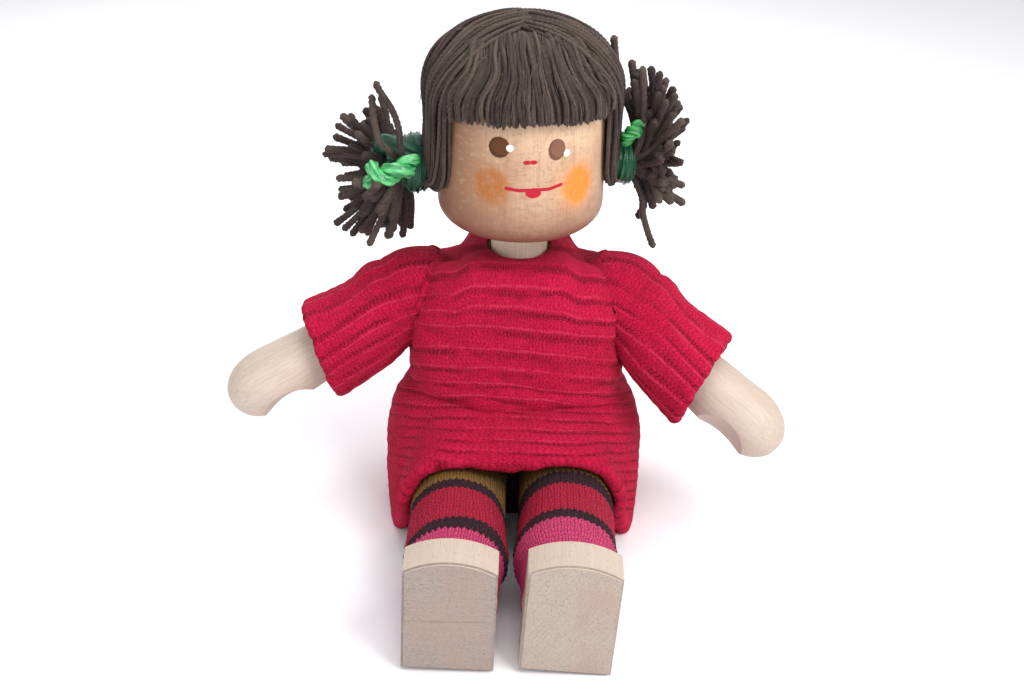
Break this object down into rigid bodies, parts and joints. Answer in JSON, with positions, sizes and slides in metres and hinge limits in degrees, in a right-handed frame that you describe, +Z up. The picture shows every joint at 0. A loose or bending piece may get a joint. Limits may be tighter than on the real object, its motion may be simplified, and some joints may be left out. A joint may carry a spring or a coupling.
{
  "type": "peg doll",
  "caption": "Seated wooden peg doll with a turned head, pinned arms and legs, block feet, a ribbed knit dress, striped tights and yarn hair.",
  "frame": {"origin": "middle of the seat's flat underside, where the doll rests on the floor", "axes": "+Z up along the neck, +X to the viewer's right across the shoulders, -Y the way the seated doll faces"},
  "size_m": [0.1641, 0.1222, 0.1493],
  "materials": {
    "face_wood": "waxed satin",
    "pale_wood": "sanded satin",
    "inner_wood": "sanded",
    "dress_knit": "ribbed knit",
    "tights_knit": "striped fine knit",
    "hair_yarn": "plied yarn",
    "tie_cord": "shiny twisted cord"
  },
  "bodies": {
    "torso": {"torso": "inner_wood", "neck_peg": "face_wood", "left_stem_pin": "inner_wood", "right_stem_pin": "inner_wood", "hip_pin": "inner_wood", "dress": "dress_knit", "tights_seat": "tights_knit"},
    "head": {"head": "face_wood", "head_pin": "inner_wood", "hair_cap": "hair_yarn", "fringe": "hair_yarn", "left_pigtail": "hair_yarn", "right_pigtail": "hair_yarn", "left_hair_tie": "tie_cord", "right_hair_tie": "tie_cord"},
    "left_shoulder": {"left_shoulder_ball": "inner_wood", "left_arm_pin": "inner_wood"},
    "left_arm": {"left_arm": "pale_wood", "left_sleeve": "dress_knit"},
    "left_leg": {"left_leg": "inner_wood", "left_tights_leg": "tights_knit"},
    "left_foot": {"left_foot": "pale_wood", "left_ankle_peg": "inner_wood"},
    "right_shoulder": {"right_shoulder_ball": "inner_wood", "right_arm_pin": "inner_wood"},
    "right_arm": {"right_arm": "pale_wood", "right_sleeve": "dress_knit"},
    "right_leg": {"right_leg": "inner_wood", "right_tights_leg": "tights_knit"},
    "right_foot": {"right_foot": "pale_wood", "right_ankle_peg": "inner_wood"}
  },
  "joints": [
    {"name": "neck_turn", "type": "hinge", "parent": "torso", "child": "head", "pos_m": [0, 0, 0.0885], "axis": [0, 0, 1], "continuous": true},
    {"name": "left_shoulder_swing", "type": "hinge", "parent": "torso", "child": "left_shoulder", "pos_m": [-0.027, 0, 0.066], "axis": [-1, 0, 0], "range_deg": [-73, 57]},
    {"name": "left_arm_lift", "type": "hinge", "parent": "left_shoulder", "child": "left_arm", "pos_m": [-0.027, 0, 0.066], "axis": [0, 0.8829, -0.4695], "range_deg": [-11.5, 31.5]},
    {"name": "left_hip_swing", "type": "hinge", "parent": "torso", "child": "left_leg", "pos_m": [-0.0157, 0, 0.0142], "axis": [1, 0, 0], "range_deg": [0, 90], "deforming": ["left_tights_leg", "dress"]},
    {"name": "left_foot_turn", "type": "hinge", "parent": "left_leg", "child": "left_foot", "pos_m": [-0.0157, -0.0829, 0.0142], "axis": [0, -1, 0], "range_deg": [-8.6, 11.4]},
    {"name": "right_shoulder_swing", "type": "hinge", "parent": "torso", "child": "right_shoulder", "pos_m": [0.027, 0, 0.066], "axis": [-1, 0, 0], "range_deg": [-87, 43]},
    {"name": "right_arm_lift", "type": "hinge", "parent": "right_shoulder", "child": "right_arm", "pos_m": [0.027, 0, 0.066], "axis": [0, -0.7431, 0.6691], "range_deg": [-0.5, 42.5]},
    {"name": "right_hip_swing", "type": "hinge", "parent": "torso", "child": "right_leg", "pos_m": [0.0157, 0, 0.0142], "axis": [1, 0, 0], "range_deg": [0, 90], "deforming": ["right_tights_leg"]},
    {"name": "right_foot_turn", "type": "hinge", "parent": "right_leg", "child": "right_foot", "pos_m": [0.0157, -0.0829, 0.0142], "axis": [0, -1, 0], "range_deg": [-6.5, 13.5]}
  ]
}
